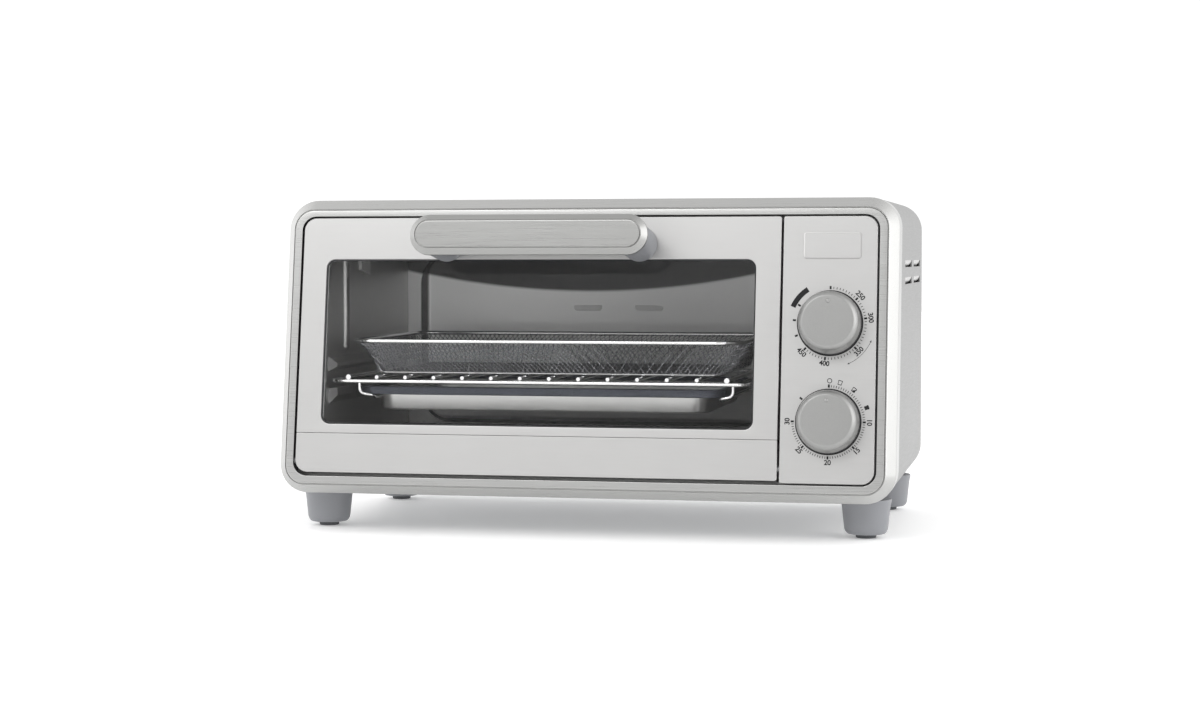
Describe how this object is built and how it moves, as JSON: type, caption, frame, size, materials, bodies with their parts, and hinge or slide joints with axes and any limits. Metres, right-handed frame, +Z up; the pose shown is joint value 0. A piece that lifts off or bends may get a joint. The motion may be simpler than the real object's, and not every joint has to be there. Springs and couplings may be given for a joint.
{
  "type": "toaster oven",
  "caption": "Countertop toaster oven with a leaning front, drop-down glass door with bar handle, two dials, wire rack, mesh basket, bake pan and rear crumb tray.",
  "frame": {"origin": "centre of the bounding box's footprint, at the underside of the foot pads", "axes": "+X to the oven's right as seen from the front, +Y from the door to the back, +Z up"},
  "size_m": [0.4168, 0.2846, 0.2242],
  "materials": {
    "brushed_steel": "brushed stainless steel with straight grain",
    "stainless_skin": "fine satin stainless sheet",
    "cavity_liner": "satin aluminised steel liner",
    "zinc_steel": "dull zinc-plated steel",
    "heater_sheath": "dark metal heater sheath",
    "chrome_wire": "bright chromed wire",
    "pan_steel": "satin tray steel with a dark rolled rim",
    "grey_plastic": "moulded mid-grey plastic",
    "black_plastic": "matt black plastic",
    "knob_metal": "spun metal cap with a fine speckle",
    "pad_rubber": "grey rubber",
    "door_glass": "clear tempered glass, slightly dark"
  },
  "bodies": {
    "chassis": {"inner_frame": "cavity_liner", "hinge_bracket_left": "zinc_steel", "hinge_bracket_right": "zinc_steel", "hinge_spring_left": "zinc_steel", "hinge_spring_right": "zinc_steel", "control_fascia": "stainless_skin", "control_bracket": "zinc_steel", "thermostat_body": "black_plastic", "timer_body": "zinc_steel", "timer_bell": "chrome_wire", "front_bezel": "brushed_steel", "outer_shell": "stainless_skin", "bottom_plate": "zinc_steel", "rear_panel": "stainless_skin", "cord_gland": "black_plastic", "rear_screw_lower_left": "zinc_steel", "rear_screw_lower_right": "zinc_steel", "rear_screw_upper_left": "zinc_steel", "rear_screw_upper_right": "zinc_steel", "foot_front_left": "grey_plastic", "foot_pad_front_left": "pad_rubber", "foot_front_right": "grey_plastic", "foot_pad_front_right": "pad_rubber", "foot_rear_left": "grey_plastic", "foot_pad_rear_left": "pad_rubber", "foot_rear_right": "grey_plastic", "foot_pad_rear_right": "pad_rubber", "cavity_left_wall": "cavity_liner", "cavity_right_wall": "cavity_liner", "cavity_back_wall": "cavity_liner", "cavity_ceiling": "cavity_liner", "cavity_floor": "cavity_liner", "heater_upper_front": "heater_sheath", "heater_upper_rear": "heater_sheath", "heater_lower_front": "heater_sheath", "heater_lower_rear": "heater_sheath", "heater_support_left": "zinc_steel", "heater_support_right": "zinc_steel", "fan_motor": "heater_sheath", "fan_grille": "cavity_liner"},
    "door": {"door_frame": "stainless_skin", "door_lower_panel": "stainless_skin", "door_glass": "door_glass", "door_inner_frame": "cavity_liner", "handle_bar": "brushed_steel", "handle_post_left": "grey_plastic", "handle_post_right": "grey_plastic", "handle_screw_left": "zinc_steel", "handle_screw_right": "zinc_steel", "hinge_pin_left": "zinc_steel", "hinge_pin_right": "zinc_steel"},
    "rack": {"wire_rack": "chrome_wire", "bake_pan": "pan_steel"},
    "basket": {"mesh_basket": "chrome_wire"},
    "temperature_dial": {"temperature_knob": "knob_metal", "temperature_shaft": "zinc_steel"},
    "timer_dial": {"timer_knob": "knob_metal", "timer_shaft": "zinc_steel"},
    "fan": {"fan_blade": "zinc_steel"},
    "crumb_drawer": {"crumb_tray": "pan_steel"}
  },
  "joints": [
    {"name": "door_hinge", "type": "hinge", "parent": "chassis", "child": "door", "pos_m": [0, -0.1093, 0.04774], "axis": [1, 0, 0], "range_deg": [0, 88]},
    {"name": "rack_slide", "type": "slide", "parent": "chassis", "child": "rack", "axis": [0, -1, 0], "range_m": [0, 0.07]},
    {"name": "basket_lift", "type": "slide", "parent": "rack", "child": "basket", "axis": [0, 0, 1], "range_m": [0, 0.03]},
    {"name": "temperature_turn", "type": "hinge", "parent": "chassis", "child": "temperature_dial", "pos_m": [0.1649, -0.10623, 0.14318], "axis": [0, 0.9897, -0.1429], "range_deg": [0, 298]},
    {"name": "timer_turn", "type": "hinge", "parent": "chassis", "child": "timer_dial", "pos_m": [0.1649, -0.11538, 0.07984], "axis": [0, 0.9897, -0.1429], "range_deg": [-50, 270]},
    {"name": "fan_spin", "type": "hinge", "parent": "chassis", "child": "fan", "pos_m": [0.112, 0.0338, 0.151], "axis": [1, 0, 0], "continuous": true},
    {"name": "crumb_tray_slide", "type": "slide", "parent": "chassis", "child": "crumb_drawer", "axis": [0, 1, 0], "range_m": [0, 0.19]}
  ],
  "couplings": [
    {"joint": "rack_slide", "follows": "door_hinge", "m_per_rad": 0.045}
  ]
}
